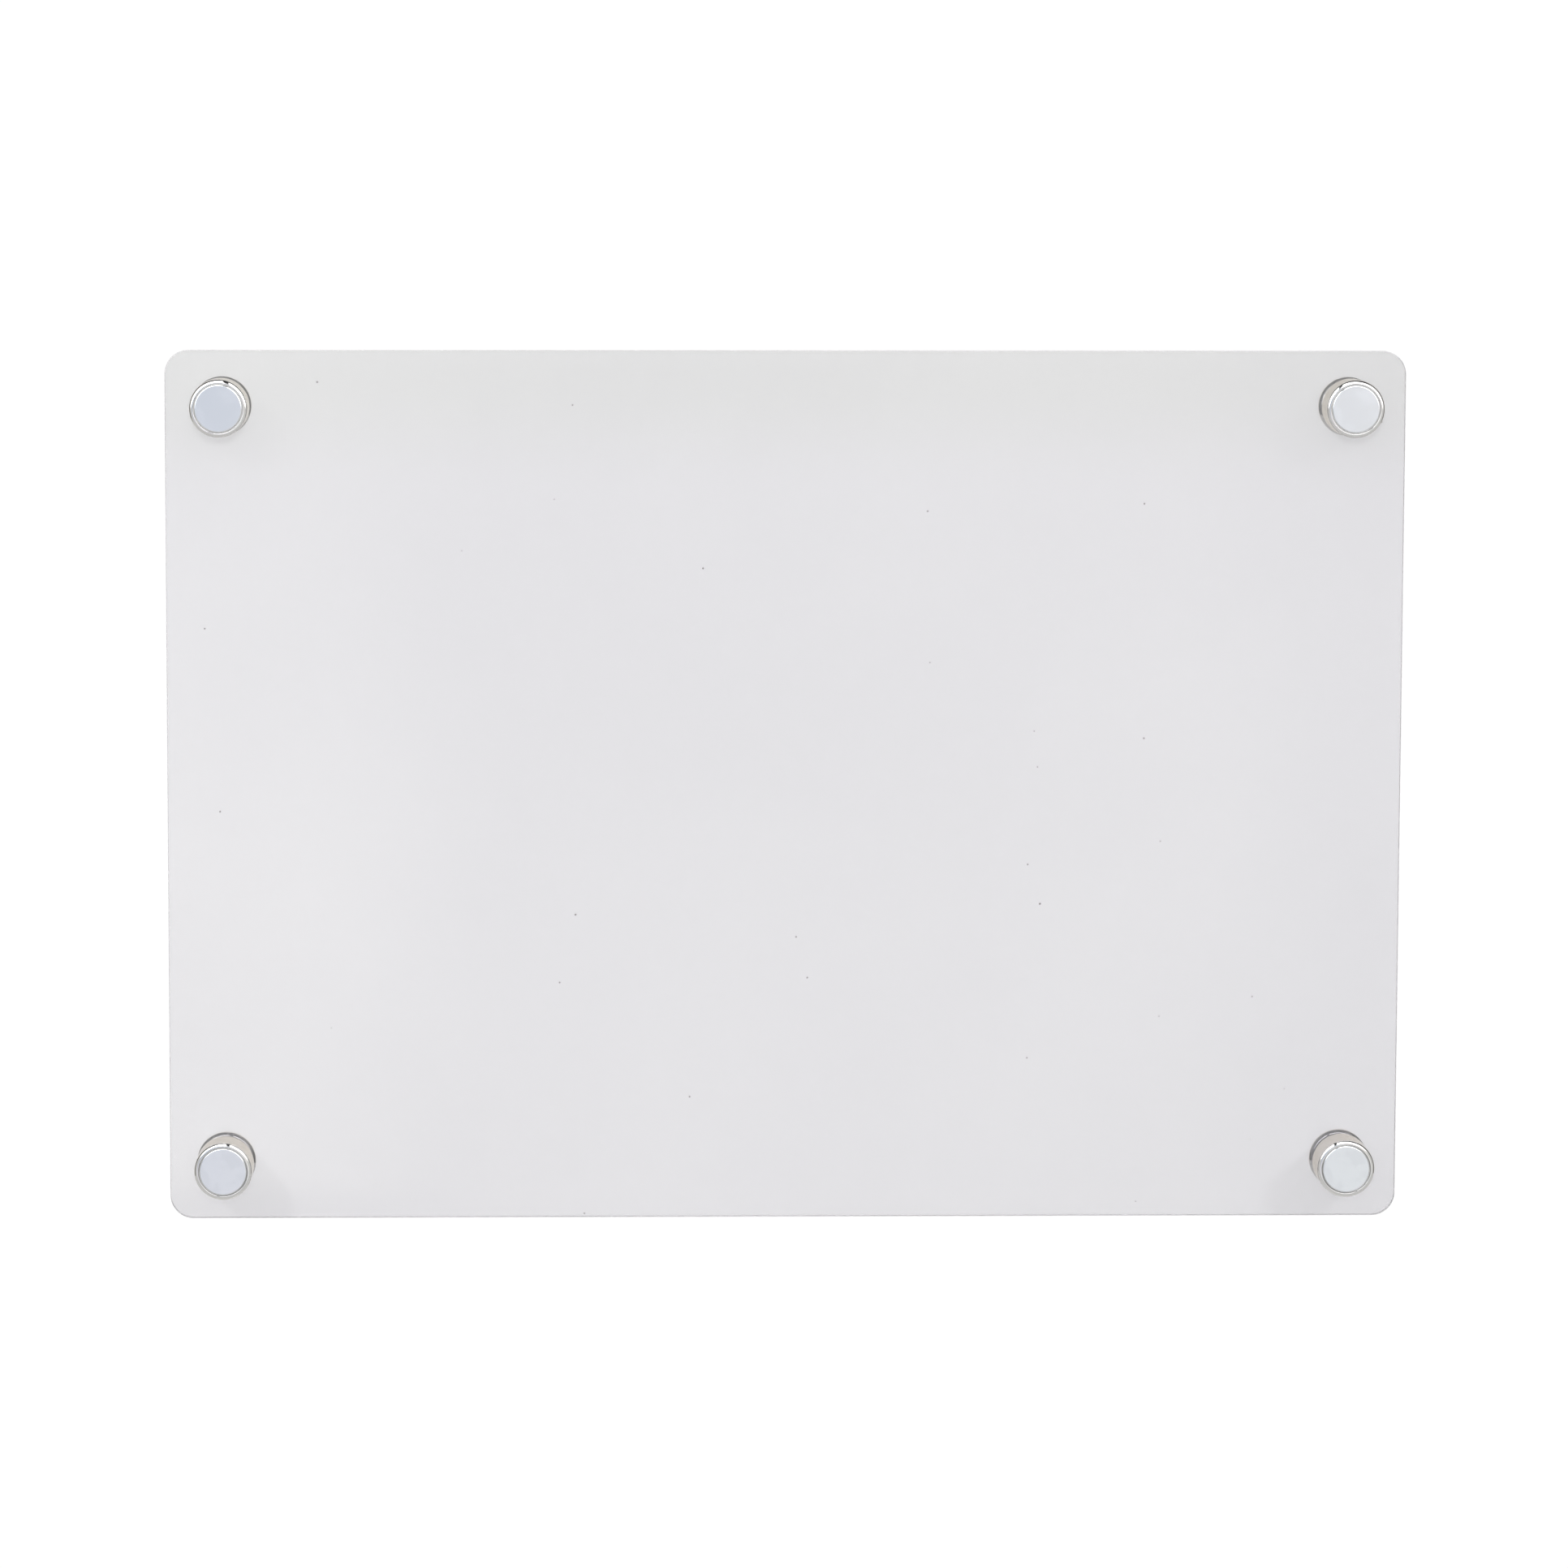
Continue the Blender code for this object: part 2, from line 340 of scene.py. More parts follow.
def newGroup(name, inputs, outputs):
    tree = bpy.data.node_groups.new(name, "ShaderNodeTree")
    for label, (kind, value) in inputs.items():
        socket = tree.interface.new_socket(label, in_out="INPUT", socket_type="NodeSocket" + kind)
        socket.default_value = value
    for label, kind in outputs.items():
        tree.interface.new_socket(label, in_out="OUTPUT", socket_type="NodeSocket" + kind)
    return tree, addNode(tree, "NodeGroupInput").outputs


def endGroup(tree, results):
    addNode(tree, "NodeGroupOutput", results)
    return tree


def useGroup(tree, group, place, values):
    return addNode(tree, "ShaderNodeGroup", {"Place": place, **values}, node_tree=group).outputs


lathe = {
    "fineDetail": 3.0, "broadDetail": 1.0,
    "broadScale": 0.12,  # of the fine rings' scale
    "bandEdges": (0.35, 0.65),
}


# Rings left by the lathe: noise over radius and depth alone, so it runs round the axis
def makeTurnedMarks():
    tree, source = newGroup("turnedMarks", {
        "Place": ("Vector", (0, 0, 0)), "Spacing": ("Float", 0.0001),
    }, {"Height": "Float", "Bands": "Float"})
    axes = splitPlace(tree, source["Place"])
    rings = joinPlace(tree, lengthOf(tree, joinPlace(tree, axes["X"], axes["Z"])), axes["Y"])
    fineScale = calc(tree, "DIVIDE", 1.0, source["Spacing"])
    broadScale = calc(tree, "DIVIDE", lathe["broadScale"], source["Spacing"])
    fine = addNoise(tree, rings, fineScale, lathe["fineDetail"], dimensions="2D")
    broad = addNoise(tree, rings, broadScale, lathe["broadDetail"], dimensions="2D")
    return endGroup(tree, {"Height": fine, "Bands": remap(tree, broad, *lathe["bandEdges"])})


# What noise reaches above an edge, which comes down as the cover grows
def coverMask(tree, noise, cover, edge):
    low = calc(tree, "SUBTRACT", edge["bare"], calc(tree, "MULTIPLY", cover, edge["drop"]))
    return remap(tree, noise, low, calc(tree, "ADD", low, edge["softness"]))


smudge = {
    "noise": (5.0, 0.6, 0.4),  # detail, roughness and distortion
    "edge": {"bare": 0.75, "drop": 0.5, "softness": 0.2},
}


# Cloudy patches, as handling leaves on a polished surface
def makeSmudges():
    tree, source = newGroup("handlingSmudges", {
        "Place": ("Vector", (0, 0, 0)), "Size": ("Float", 0.01), "Cover": ("Float", 0.5),
    }, {"Mask": "Float"})
    scale = calc(tree, "DIVIDE", 1.0, source["Size"])
    cloud = addNoise(tree, source["Place"], scale, *smudge["noise"])
    return endGroup(tree, {"Mask": coverMask(tree, cloud, source["Cover"], smudge["edge"])})


scratch = {
    "directions": ((0.35, 0.0), (1.6, 3.1), (2.6, 7.7)),  # turn in radians, and shift of the noise
    "noise": (1.0, 0.5, 0.6),  # detail, roughness and distortion
    "edge": {"bare": 0.80, "drop": 0.3, "softness": 0.06},
}


# Short hairlines in a few directions
def makeHairScratches():
    tree, source = newGroup("hairScratches", {
        "Place": ("Vector", (0, 0, 0)), "Length": ("Float", 0.01), "Width": ("Float", 0.00005),
        "Cover": ("Float", 0.2),
    }, {"Mask": "Float"})
    total = 0.0
    for turn, shift in scratch["directions"]:
        spun = addNode(tree, "ShaderNodeVectorRotate", {"Vector": source["Place"], "Angle": turn},
                       rotation_type="Y_AXIS").outputs[0]
        axes = splitPlace(tree, spun)
        across = calc(tree, "DIVIDE", axes["X"], source["Width"])
        along = calc(tree, "ADD", calc(tree, "DIVIDE", axes["Z"], source["Length"]), shift)
        noise = addNoise(tree, joinPlace(tree, across, along, shift), 1.0, *scratch["noise"])
        mark = coverMask(tree, noise, source["Cover"], scratch["edge"])
        total = calc(tree, "MAXIMUM", total, mark)
    return endGroup(tree, {"Mask": total})


dust = {
    "backShift": 3.7,  # keeps the specks of the two faces apart
    "leastSize": 0.4, "softness": 0.4,
}


# Rare specks of dust on the two flat faces, one at most in each cell
def makeDustSpecks():
    tree, source = newGroup("dustSpecks", {
        "Place": ("Vector", (0, 0, 0)), "Cell": ("Float", 0.03), "Radius": ("Float", 0.0003),
        "Share": ("Float", 0.2),
    }, {"Mask": "Float"})
    axes = splitPlace(tree, source["Place"])
    behind = calc(tree, "GREATER_THAN", axes["Y"], middleY)
    flat = joinPlace(tree, axes["X"], calc(tree, "MULTIPLY_ADD", behind, dust["backShift"], axes["Z"]))
    cell = addNode(tree, "ShaderNodeTexVoronoi", {
        "Vector": flat, "Scale": calc(tree, "DIVIDE", 1.0, source["Cell"]),
    }, voronoi_dimensions="2D").outputs
    pick = addNode(tree, "ShaderNodeSeparateColor", {0: cell["Color"]}).outputs
    reach = calc(tree, "DIVIDE", source["Radius"], source["Cell"])
    reach = calc(tree, "MULTIPLY", reach, calc(tree, "ADD", dust["leastSize"], pick[1]))
    inside = calc(tree, "SUBTRACT", 1.0, calc(tree, "DIVIDE", cell["Distance"], reach), clamp=True)
    kept = calc(tree, "LESS_THAN", pick[0], source["Share"])
    speck = remap(tree, inside, 0.0, dust["softness"])
    return endGroup(tree, {"Mask": calc(tree, "MULTIPLY", speck, kept)})


# Grain that shifts colour and roughness together. Its scale is set for each axis, so it can be
# drawn out into lines
def makeFineGrain():
    tree, source = newGroup("fineGrain", {
        "Place": ("Vector", (0, 0, 0)), "Scale": ("Vector", (1000, 1000, 1000)),
        "Detail": ("Float", 3.0),
        "Dark": ("Color", (0.4, 0.4, 0.4, 1)), "Light": ("Color", (0.6, 0.6, 0.6, 1)),
        "Smooth Below": ("Float", 0.3), "Rough Above": ("Float", 0.7),
        "Least Roughness": ("Float", 0.2), "Most Roughness": ("Float", 0.4),
    }, {"Colour": "Color", "Roughness": "Float", "Height": "Float"})
    scaled = addNode(tree, "ShaderNodeVectorMath", {0: source["Place"], 1: source["Scale"]},
                     operation="MULTIPLY").outputs[0]
    grain = addNoise(tree, scaled, 1.0, source["Detail"])
    return endGroup(tree, {
        "Colour": blendColour(tree, grain, source["Dark"], source["Light"]),
        "Roughness": remap(tree, grain, source["Smooth Below"], source["Rough Above"],
                           source["Least Roughness"], source["Most Roughness"]),
        "Height": grain,
    })


turnedMarks = makeTurnedMarks()
smudges = makeSmudges()
hairScratches = makeHairScratches()
dustSpecks = makeDustSpecks()
fineGrain = makeFineGrain()


# Materials

def newMaterial(name, plain):
    material = bpy.data.materials.new(name)
    material.use_nodes = True
    tree = material.node_tree
    shader = tree.nodes["Principled BSDF"]
    for label, value in plain.items():
        shader.inputs[label].default_value = value
    return material, tree, shader


def feedShader(tree, shader, values):
    for label, value in values.items():
        tree.links.new(value, shader.inputs[label])


def addBump(tree, height, distance):
    return addNode(tree, "ShaderNodeBump", {"Height": height, "Distance": distance}).outputs[0]


acrylic = {
    "plain": {"IOR": 1.49, "Transmission Weight": 0.83},  # a little milky, so it takes soft shadows
    "tint": (0.802, 0.794, 0.814, 1),
    # Paler cloudy patches of tone, and painted light: a paler left side, most of all in its lower half,
    # fading out at the bottom edge
    "patchAndPaintedLightTint": (0.854, 0.846, 0.860, 1),
    "paleCloud": (9.0, 3.0), "paleCloudRange": (0.30, 0.70, -0.1, 0.2),
    "paintedLightReach": (("X", -0.09, -0.175, 0.0, 0.85), ("Z", 0.050, -0.035, 0.55, 1.0), ("Z", -0.146, -0.132)),
    # Painted shade: a shade darker towards the top and the right
    "topShade": (0.965, 0.972, 0.950, 1), "topReach": ("Z", 0.100, 0.138),
    "rightShade": (0.965, 0.965, 0.970, 1), "rightReach": ("X", 0.130, 0.200),
    "speckTint": (0.22, 0.20, 0.19, 1),
    "specks": {"Cell": 0.040, "Radius": 0.00032, "Share": 0.30},
    "wiped": {"Size": 0.05, "Cover": 0.5},
    "lines": {"Length": 0.012, "Width": 0.00008, "Cover": 0.12},
    "roughness": 0.012, "wipedRoughness": 0.012, "lineRoughness": 0.08,
    "ripple": (28.0, 1.0), "lineDepth": 0.05, "relief": 0.00003,
}


def makeAcrylic():
    material, tree, shader = newMaterial("clearAcrylic", acrylic["plain"])
    place = objectPlace(tree)
    axes = splitPlace(tree, place)
    specks = useGroup(tree, dustSpecks, place, acrylic["specks"])["Mask"]
    wiped = useGroup(tree, smudges, place, acrylic["wiped"])["Mask"]
    lines = useGroup(tree, hairScratches, place, acrylic["lines"])["Mask"]
    cloud = remap(tree, addNoise(tree, place, *acrylic["paleCloud"]), *acrylic["paleCloudRange"])
    # pale is the cloudy patches plus the painted light on the left side
    pale = calc(tree, "ADD", fadeMask(tree, axes, *acrylic["paintedLightReach"]), cloud, clamp=True)
    colour = blendColour(tree, pale, acrylic["tint"], acrylic["patchAndPaintedLightTint"])
    # Painted shade, darker towards the top and the right
    for side in ("top", "right"):
        reach = fadeMask(tree, axes, acrylic[side + "Reach"])
        colour = blendColour(tree, reach, colour, acrylic[side + "Shade"], "MULTIPLY")
    rough = calc(tree, "MULTIPLY_ADD", wiped, acrylic["wipedRoughness"], acrylic["roughness"])
    ripple = addNoise(tree, place, *acrylic["ripple"])
    height = calc(tree, "SUBTRACT", ripple, calc(tree, "MULTIPLY", lines, acrylic["lineDepth"]))
    feedShader(tree, shader, {
        "Base Color": blendColour(tree, specks, colour, acrylic["speckTint"]),
        "Roughness": calc(tree, "MULTIPLY_ADD", lines, acrylic["lineRoughness"], rough),
        "Normal": addBump(tree, height, acrylic["relief"]),
    })
    return material


chrome = {
    "plain": {"Metallic": 1.0, "Specular Tint": (0.92, 0.885, 0.82, 1)},
    "bright": (0.83, 0.822, 0.81, 1),
    "dull": (0.76, 0.748, 0.73, 1),
    "marks": {"Spacing": 0.00009},
    "handled": {"Size": 0.004, "Cover": 0.45},
    "lines": {"Length": 0.003, "Width": 0.00003, "Cover": 0.10},
    "handledWear": 0.5, "bandWear": 0.3,
    "roughness": 0.055, "wornRoughness": 0.07, "lineRoughness": 0.15,
    "relief": 0.0000012,
}


def makeChrome():
    material, tree, shader = newMaterial("polishedChrome", chrome["plain"])
    place = axisPlace(tree)
    marks = useGroup(tree, turnedMarks, place, chrome["marks"])
    handled = useGroup(tree, smudges, place, chrome["handled"])["Mask"]
    lines = useGroup(tree, hairScratches, place, chrome["lines"])["Mask"]
    bands = calc(tree, "MULTIPLY", marks["Bands"], chrome["bandWear"])
    worn = calc(tree, "MULTIPLY_ADD", handled, chrome["handledWear"], bands, clamp=True)
    rough = calc(tree, "MULTIPLY_ADD", worn, chrome["wornRoughness"], chrome["roughness"])
    feedShader(tree, shader, {
        "Base Color": blendColour(tree, worn, chrome["bright"], chrome["dull"]),
        "Roughness": calc(tree, "MULTIPLY_ADD", lines, chrome["lineRoughness"], rough),
        "Normal": addBump(tree, marks["Height"], chrome["relief"]),
    })
    return material


nickel = {
    "plain": {"Metallic": 1.0},
    "light": (0.83, 0.85, 0.875, 1),
    "dark": (0.78, 0.80, 0.835, 1),
    "grain": (9000.0, 3.0),
    "patches": {"Size": 0.006, "Cover": 0.6},
    "lines": {"Length": 0.004, "Width": 0.00006, "Cover": 0.22},
    "lineWear": 0.6, "patchWear": 0.35,
    "roughness": 0.16, "patchRoughness": 0.06, "lineRoughness": -0.08,  # scratches shine
    "lineDepth": 0.8, "relief": 0.000002,
}


def makeNickel():
    material, tree, shader = newMaterial("nickelPlate", nickel["plain"])
    place = axisPlace(tree)
    grain = addNoise(tree, place, *nickel["grain"])
    patches = useGroup(tree, smudges, place, nickel["patches"])["Mask"]
    lines = useGroup(tree, hairScratches, place, nickel["lines"])["Mask"]
    patched = calc(tree, "MULTIPLY", patches, nickel["patchWear"])
    worn = calc(tree, "MULTIPLY_ADD", lines, nickel["lineWear"], patched, clamp=True)
    rough = calc(tree, "MULTIPLY_ADD", patches, nickel["patchRoughness"], nickel["roughness"])
    height = calc(tree, "SUBTRACT", grain, calc(tree, "MULTIPLY", lines, nickel["lineDepth"]))
    feedShader(tree, shader, {
        "Base Color": blendColour(tree, worn, nickel["light"], nickel["dark"]),
        "Roughness": calc(tree, "MULTIPLY_ADD", lines, nickel["lineRoughness"], rough),
        "Normal": addBump(tree, height, nickel["relief"]),
    })
    return material


# Finishes that are little more than grain. A second noise gives the relief where one is named
grainy = {
    # The cut edge is flame polished: glossy, a shade denser, with faint saw lines along it
    "polishedEdge": {
        "plain": {"IOR": 1.49, "Transmission Weight": 0.72},
        "place": objectPlace,
        "grain": {"Scale": (40, 9000, 40), "Detail": 2.0,
                  "Dark": (0.88, 0.87, 0.89, 1), "Light": (0.95, 0.94, 0.96, 1),
                  "Rough Above": 0.8, "Least Roughness": 0.10, "Most Roughness": 0.20},
        "relief": 0.00001,
    },
    "drilledBore": {
        "plain": {"IOR": 1.49, "Transmission Weight": 0.7},
        "place": objectPlace,
        "grain": {"Scale": (300, 12000, 300), "Detail": 2.0,
                  "Dark": (0.72, 0.72, 0.73, 1), "Light": (0.86, 0.86, 0.87, 1),
                  "Least Roughness": 0.25, "Most Roughness": 0.42},
        "relief": 0.00002,
    },
    "greyEpoxy": {
        "plain": {},
        "place": axisPlace,
        "grain": {"Scale": (1400, 1400, 1400), "Detail": 3.0,
                  "Dark": (0.47, 0.465, 0.465, 1), "Light": (0.62, 0.61, 0.60, 1),
                  "Least Roughness": 0.25, "Most Roughness": 0.5},
        "relief": 0.00005,
    },
    "zincThread": {
        "plain": {"Metallic": 1.0},
        "place": axisPlace,
        "grain": {"Scale": (700, 700, 700), "Detail": 4.0,
                  "Dark": (0.58, 0.60, 0.64, 1), "Light": (0.74, 0.73, 0.68, 1),
                  "Least Roughness": 0.22, "Most Roughness": 0.38},
        "reliefNoise": (12000.0, 2.0), "relief": 0.000004,
    },
    "clearVinyl": {
        "plain": {"IOR": 1.52, "Transmission Weight": 0.9},
        "place": axisPlace,
        "grain": {"Scale": (900, 900, 900), "Detail": 3.0,
                  "Dark": (0.84, 0.86, 0.86, 1), "Light": (0.93, 0.94, 0.93, 1),
                  "Least Roughness": 0.08, "Most Roughness": 0.2},
        "relief": 0.00001,
    },
}


def makeGrainy(name):
    finish = grainy[name]
    material, tree, shader = newMaterial(name, finish["plain"])
    place = finish["place"](tree)
    grain = useGroup(tree, fineGrain, place, finish["grain"])
    height = grain["Height"]
    if "reliefNoise" in finish:
        height = addNoise(tree, place, *finish["reliefNoise"])
    feedShader(tree, shader, {
        "Base Color": grain["Colour"],
        "Roughness": grain["Roughness"],
        "Normal": addBump(tree, height, finish["relief"]),
    })
    return material


acrylicMaterial = makeAcrylic()
edgeMaterial = makeGrainy("polishedEdge")
boreMaterial = makeGrainy("drilledBore")
chromeMaterial = makeChrome()
nickelMaterial = makeNickel()
adhesiveMaterial = makeGrainy("greyEpoxy")
zincMaterial = makeGrainy("zincThread")
vinylMaterial = makeGrainy("clearVinyl")
print("materials ready")


# Pieces

weldDistance = 0.000001
smoothLimit = math.radians(38)


# A turned piece's outer sizes, to the micrometre, with depths along Y from the middle of the sheet
def turnedSize(node):
    low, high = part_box(node + "_top_left")
    sizes = {"radius": (high.x - low.x) / 2, "front": low.y - middleY, "back": high.y - middleY}
    return {name: round(value, 6) for name, value in sizes.items()}


def weld(shape):
    bmesh.ops.remove_doubles(shape, verts=shape.verts, dist=weldDistance)


def roundOff(shape, geom, radius, segments, affect="EDGES"):
    bmesh.ops.bevel(shape, geom=geom, offset=radius, offset_type="OFFSET", affect=affect,
                    segments=segments, profile=0.5, material=-1)


def wholeShape(shape):
    return shape.verts[:] + shape.edges[:] + shape.faces[:]


def ofKind(geom, kind):
    return [item for item in geom if isinstance(item, kind)]


def finishPiece(shape, name, materials, body, slot, *nodes):
    weld(shape)
    bmesh.ops.recalc_face_normals(shape, faces=shape.faces)
    mesh = bpy.data.meshes.new(name)
    shape.to_mesh(mesh)
    shape.free()
    mesh.shade_smooth()
    mesh.set_sharp_from_angle(angle=smoothLimit)
    for material in materials:
        mesh.materials.append(material)
    piece = addObject(name, mesh)
    normals = piece.modifiers.new("evenNormals", "WEIGHTED_NORMAL")
    normals.keep_sharp = True
    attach(piece, body)
    if nodes:
        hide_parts(*nodes)


# A line of edges through places given as (radius, depth)
def drawLine(shape, places, closed=False):
    points = [shape.verts.new((radius, depth, 0)) for radius, depth in places]
    ends = points[1:] + points[:1] if closed else points[1:]
    for first, second in zip(points, ends):
        shape.edges.new((first, second))
    return points


# A profile is a list of (radius, depth, rounding), and the piece's own sizes give the steps
def spinProfile(sizes, profile, closed=False):
    shape = bmesh.new()
    points = drawLine(shape, [(radius, depth) for radius, depth, rounding in profile], closed)
    for point, (radius, depth, rounding) in zip(points, profile):
        if rounding:
            roundOff(shape, [point], rounding, sizes["roundSteps"], "VERTICES")
    bmesh.ops.spin(shape, geom=wholeShape(shape), cent=(0, 0, 0), axis=(0, 1, 0),
                   angle=math.tau, steps=sizes["steps"], use_merge=True)
    weld(shape)
    return shape


# M6 stud: one turn of thread is spun up a helix and repeated, then cut to length and chamfered
stud = {
    **turnedSize("threaded_stud"),
    "pitch": 0.001, "threadDepth": 0.00061, "chamfer": 0.0005, "steps": 40,
    "flat": 0.125,  # of the crest and of each half of the root, as a share of the pitch
    "lead": 1.5,  # turns spun before the front end, for the cut to go through full thread
}


def makeStud():
    shape = bmesh.new()
    pitch, crest, flat = stud["pitch"], stud["radius"], stud["flat"]
    root = crest - stud["threadDepth"]
    start = stud["front"] - stud["lead"] * pitch
    thread = [(root, 0), (root, flat), (crest, 0.5 - flat / 2),
              (crest, 0.5 + flat / 2), (root, 1 - flat), (root, 1)]
    drawLine(shape, [(radius, start + share * pitch) for radius, share in thread])
    bmesh.ops.spin(shape, geom=wholeShape(shape), cent=(0, 0, 0), axis=(0, 1, 0),
                   dvec=(0, pitch / stud["steps"], 0), angle=math.tau, steps=stud["steps"])
    oneTurn = wholeShape(shape)
    for turn in range(1, math.ceil((stud["back"] - start) / pitch) + 1):
        more = bmesh.ops.duplicate(shape, geom=oneTurn)["geom"]
        bmesh.ops.translate(shape, vec=(0, turn * pitch, 0), verts=ofKind(more, bmesh.types.BMVert))
    weld(shape)
    for depth, way in ((stud["front"], -1), (stud["back"], 1)):
        cut = bmesh.ops.bisect_plane(shape, geom=wholeShape(shape), plane_co=(0, depth, 0),
                                     plane_no=(0, way, 0), clear_outer=True)["geom_cut"]
        bmesh.ops.triangle_fill(shape, edges=ofKind(cut, bmesh.types.BMEdge),
                                use_beauty=True, use_dissolve=False)
    # The chamfer draws in what stands out past a cone at each end
    for point in shape.verts:
        reach = min(point.co.y - stud["front"], stud["back"] - point.co.y)
        radius = math.hypot(point.co.x, point.co.z)
        allowed = crest - stud["chamfer"] + reach
        if radius > allowed:
            point.co.x *= allowed / radius
            point.co.z *= allowed / radius
    return shape


# Acrylic sheet

sheet = {
    "cornerRadius": 0.008, "cornerSteps": 20,
    "edgeRadius": 0.00015, "edgeSteps": 4,
    "holeRadius": stud["radius"] + 0.0005, "holeSteps": 72, "holeChamfer": 0.0003,
    "holeArea": 1.5,  # hole radii within which faces and edges belong to a hole
    "sharpAngle": math.radians(80),
    "flatNormal": 0.999,  # less of a normal straight across the sheet means an edge or a hole's wall
}


def makeSheet():
    size = sheetHigh - sheetLow
    holes = [standPlace[corner].xz for corner in corners]

    def nearHole(point):
        return min((point.xy - hole).length for hole in holes) < sheet["holeRadius"] * sheet["holeArea"]

    shape = bmesh.new()
    bmesh.ops.create_grid(shape, x_segments=1, y_segments=1, size=0.5)
    bmesh.ops.scale(shape, vec=(size.x, size.z, 1), verts=shape.verts)
    roundOff(shape, shape.verts[:], sheet["cornerRadius"], sheet["cornerSteps"], "VERTICES")
    bmesh.ops.delete(shape, geom=shape.faces[:], context="FACES_ONLY")
    for hole in holes:
        bmesh.ops.create_circle(shape, cap_ends=False, segments=sheet["holeSteps"],
                                radius=sheet["holeRadius"], matrix=Matrix.Translation(hole.to_3d()))
    bmesh.ops.triangle_fill(shape, edges=shape.edges[:], use_beauty=True, use_dissolve=False)
    wall = bmesh.ops.extrude_face_region(shape, geom=shape.faces[:])["geom"]
    bmesh.ops.translate(shape, verts=ofKind(wall, bmesh.types.BMVert), vec=(0, 0, size.y))
    bmesh.ops.recalc_face_normals(shape, faces=shape.faces)
    rims = [edge for edge in shape.edges if edge.calc_face_angle(0) > sheet["sharpAngle"]]
    holeRims = [edge for edge in rims if nearHole((edge.verts[0].co + edge.verts[1].co) / 2)]
    outerRims = [edge for edge in rims if edge not in holeRims]
    roundOff(shape, outerRims, sheet["edgeRadius"], sheet["edgeSteps"])
    roundOff(shape, holeRims, sheet["holeChamfer"], 1)
    for face in shape.faces:
        if abs(face.normal.z) < sheet["flatNormal"]:
            face.material_index = 2 if nearHole(face.calc_center_median()) else 1
    bmesh.ops.transform(shape, matrix=Matrix.Rotation(math.radians(90), 4, "X"), verts=shape.verts)
    bmesh.ops.translate(shape, verts=shape.verts, vec=(0, sheetHigh.y, 0))
    finishPiece(shape, "acrylicSheet", [acrylicMaterial, edgeMaterial, boreMaterial],
                "board", "clear_acrylic", "board_sheet")


makeSheet()
print("sheet ready")


# Turned pieces of one standoff, with their magnets towards -Y

magnet = {
    **turnedSize("magnet_disc"),
    "edge": 0.0004, "steps": 128, "roundSteps": 6,
}


def makeMagnet():
    return spinProfile(magnet, [
        (0, magnet["front"], 0),
        (magnet["radius"], magnet["front"], magnet["edge"]),
        (magnet["radius"], magnet["back"], magnet["edge"]),
        (0, magnet["back"], 0),
    ])


cup = {
    **turnedSize("magnet_cup"),
    "shoulder": 0.0012, "lip": 0.00012, "backRound": 0.0004,
    # The pocket and bore leave room for glue and thread
    "pocketRadius": magnet["radius"] + 0.0004, "pocketFloor": magnet["back"] + 0.0002,
    "floorRound": 0.0003,
    "boreRadius": stud["radius"] + 0.0002, "boreEnd": stud["front"] - 0.001,
    "drillPoint": 0.0008, "mouth": 0.0004,
    "steps": 144, "roundSteps": 10,
}


def makeCup():
    return spinProfile(cup, [
        (0, cup["pocketFloor"], 0),
        (cup["pocketRadius"], cup["pocketFloor"], cup["floorRound"]),
        (cup["pocketRadius"], cup["front"], cup["lip"]),
        (cup["radius"], cup["front"], cup["shoulder"]),
        (cup["radius"], cup["back"], cup["backRound"]),
        (cup["boreRadius"] + cup["mouth"], cup["back"], 0),
        (cup["boreRadius"], cup["back"] - cup["mouth"], 0),
        (cup["boreRadius"], cup["boreEnd"], 0),
        (0, cup["boreEnd"] - cup["drillPoint"], 0),
    ])


# Glue stands in the gap round the magnet, a little below the rim, with a dished top
adhesive = {
    "inner": magnet["radius"] + 0.00002, "outer": cup["pocketRadius"] - 0.00002,
    "front": cup["front"] + 0.0002, "back": magnet["back"] - 0.0001,
    "dish": 0.00015, "dishRound": 0.0001,
    "steps": 96, "roundSteps": 3,
}


def makeAdhesiveRing():
    return spinProfile(adhesive, [
        (adhesive["inner"], adhesive["back"], 0),
        (adhesive["outer"], adhesive["back"], 0),
        (adhesive["outer"], adhesive["front"], 0),
        ((adhesive["inner"] + adhesive["outer"]) / 2, adhesive["front"] + adhesive["dish"],
         adhesive["dishRound"]),
        (adhesive["inner"], adhesive["front"], 0),
    ], closed=True)


washer = {
    **turnedSize("cap_washer"),
    "inner": stud["radius"] + 0.0003, "edge": 0.0001,
    "steps": 112, "roundSteps": 3,
}


# The cup's washer mirrors the cap's about the sheet, so its side is -1
def makeWasher(side):
    return spinProfile(washer, [
        (washer["inner"], side * washer["front"], washer["edge"]),
        (washer["radius"], side * washer["front"], washer["edge"]),
        (washer["radius"], side * washer["back"], washer["edge"]),
        (washer["inner"], side * washer["back"], washer["edge"]),
    ], closed=True)


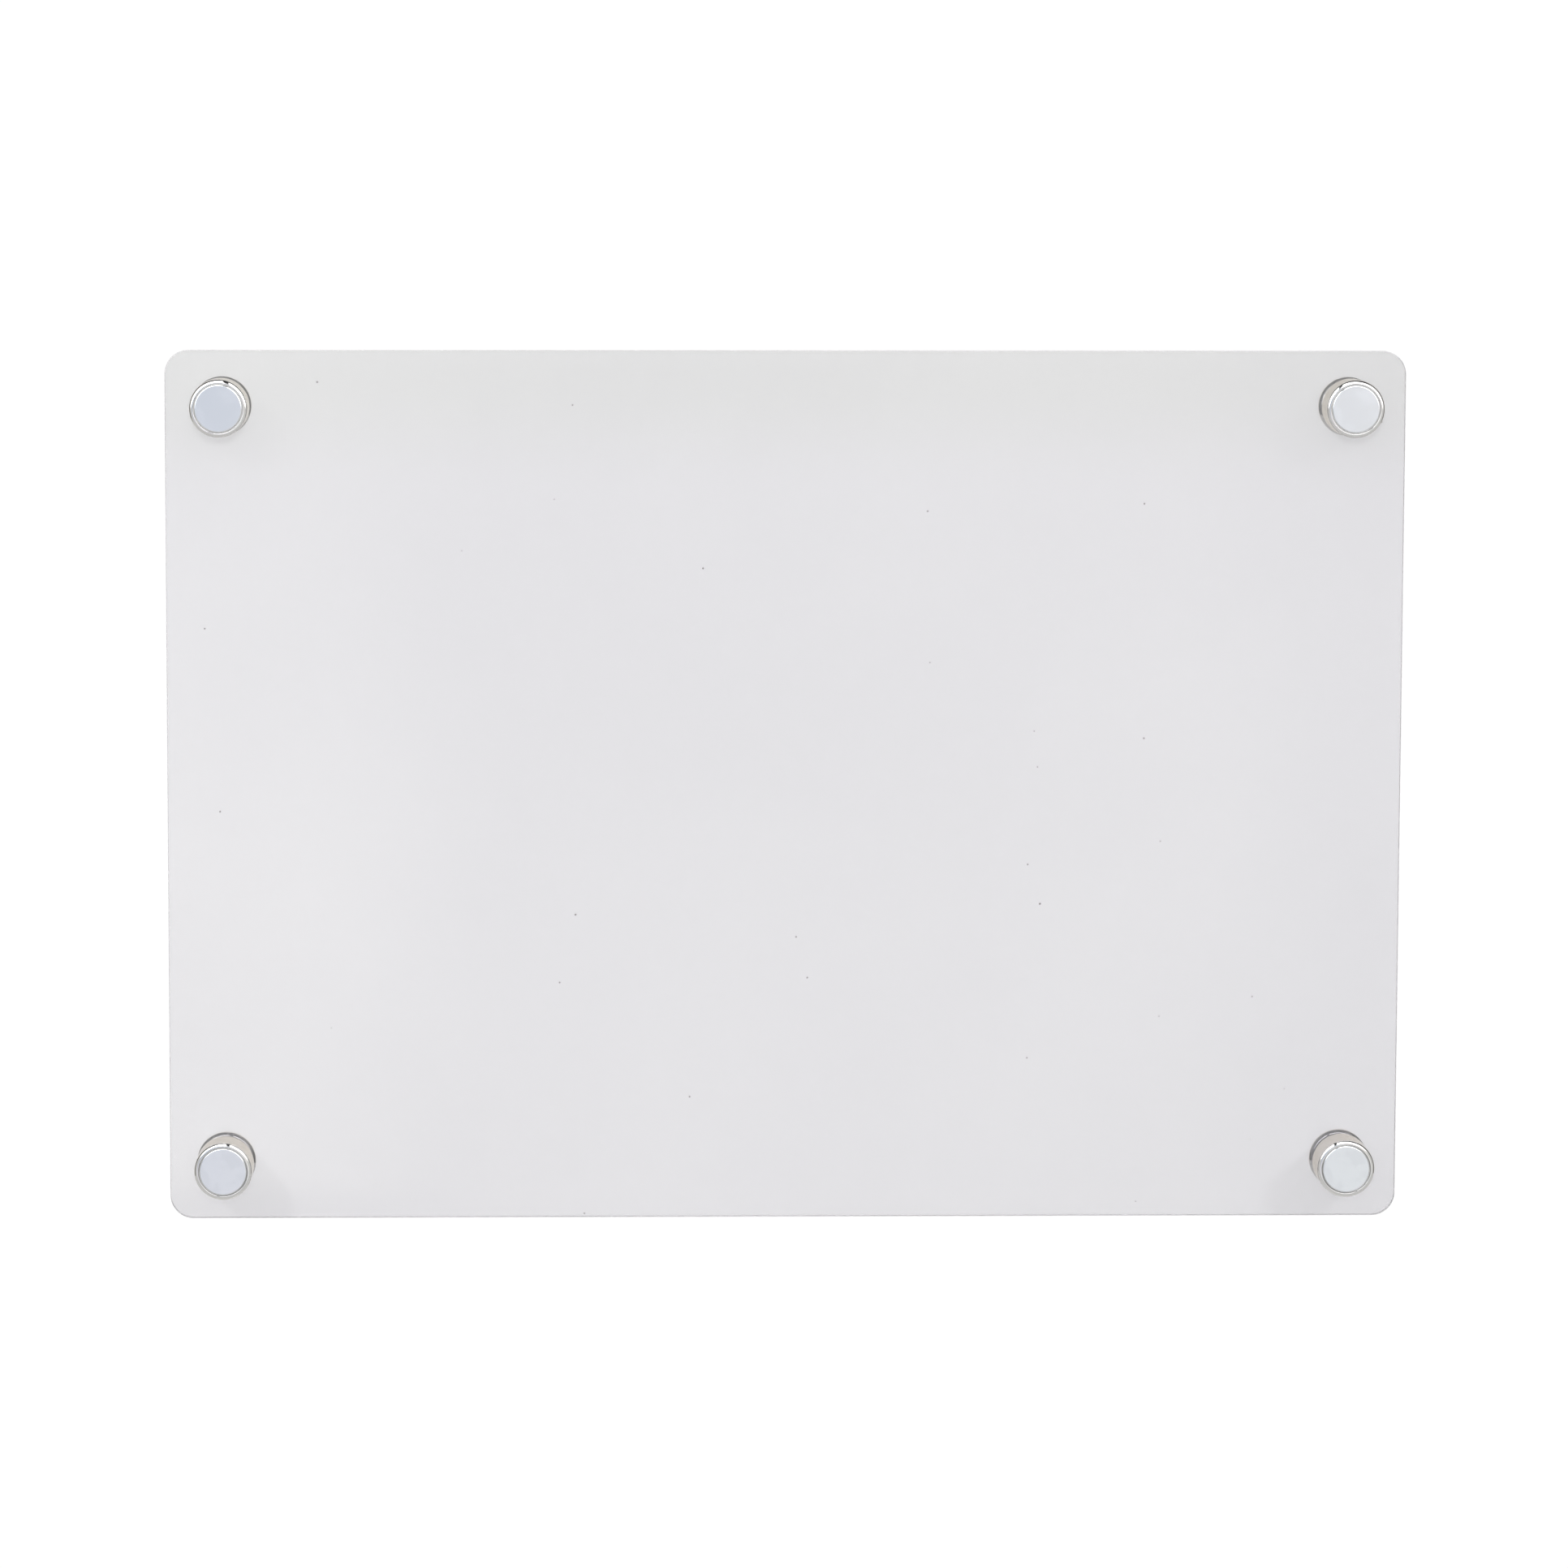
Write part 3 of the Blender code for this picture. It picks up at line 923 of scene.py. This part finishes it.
cap = {
    **turnedSize("screw_cap"),
    "faceRound": 0.0012,
    "bevelIn": 0.0009, "bevelUp": 0.0011, "bevelRound": 0.00025,  # sheet side
    "boreRadius": stud["radius"] + 0.0002, "boreEnd": stud["back"] + 0.0002, "mouth": 0.0004,
    "steps": 144, "roundSteps": 10,
}


def makeCap():
    return spinProfile(cap, [
        (0, cap["boreEnd"], 0),
        (cap["boreRadius"], cap["boreEnd"], 0),
        (cap["boreRadius"], cap["front"] + cap["mouth"], 0),
        (cap["boreRadius"] + cap["mouth"], cap["front"], 0),
        (cap["radius"] - cap["bevelIn"], cap["front"], cap["bevelRound"]),
        (cap["radius"], cap["front"] + cap["bevelUp"], cap["bevelRound"]),
        (cap["radius"], cap["back"], cap["faceRound"]),
        (0, cap["back"], 0),
    ])


# Keeps each point's place from its own axis for the materials, then sets the shape in its corner
def setInCorner(shape, corner):
    layer = shape.verts.layers.float_vector.new("axisPlace")
    for point in shape.verts:
        point[layer] = point.co
    bmesh.ops.translate(shape, verts=shape.verts, vec=standPlace[corner])


# Name, shape, material, body, slot and the CAD node that each piece stands for
standoff = [
    ("cupBody_", makeCup(), chromeMaterial, "board", "chromed_brass", "magnet_cup_"),
    ("nickelDisc_", makeMagnet(), nickelMaterial, "board", "nickel_plate", "magnet_disc_"),
    ("adhesiveRing_", makeAdhesiveRing(), adhesiveMaterial, "board", None, None),
    ("cupWasher_", makeWasher(-1), vinylMaterial, "board", "clear_washer", "cup_washer_"),
    ("capWasher_", makeWasher(1), vinylMaterial, "washer_", "clear_washer", "cap_washer_"),
    ("capBody_", makeCap(), chromeMaterial, "cap_", "chromed_brass", "screw_cap_"),
    ("m6Stud_", makeStud(), zincMaterial, "cap_", "zinc_plated_steel", "threaded_stud_"),
]

for corner in corners:
    for name, shape, material, body, slot, node in standoff:
        placed = shape.copy()
        setInCorner(placed, corner)
        ridden = body if body == "board" else body + corner
        nodes = [node + corner] if node else []
        finishPiece(placed, name + corner, [material], ridden, slot, *nodes)
    print("standoff ready:", corner)

for name, shape, *rest in standoff:
    shape.free()
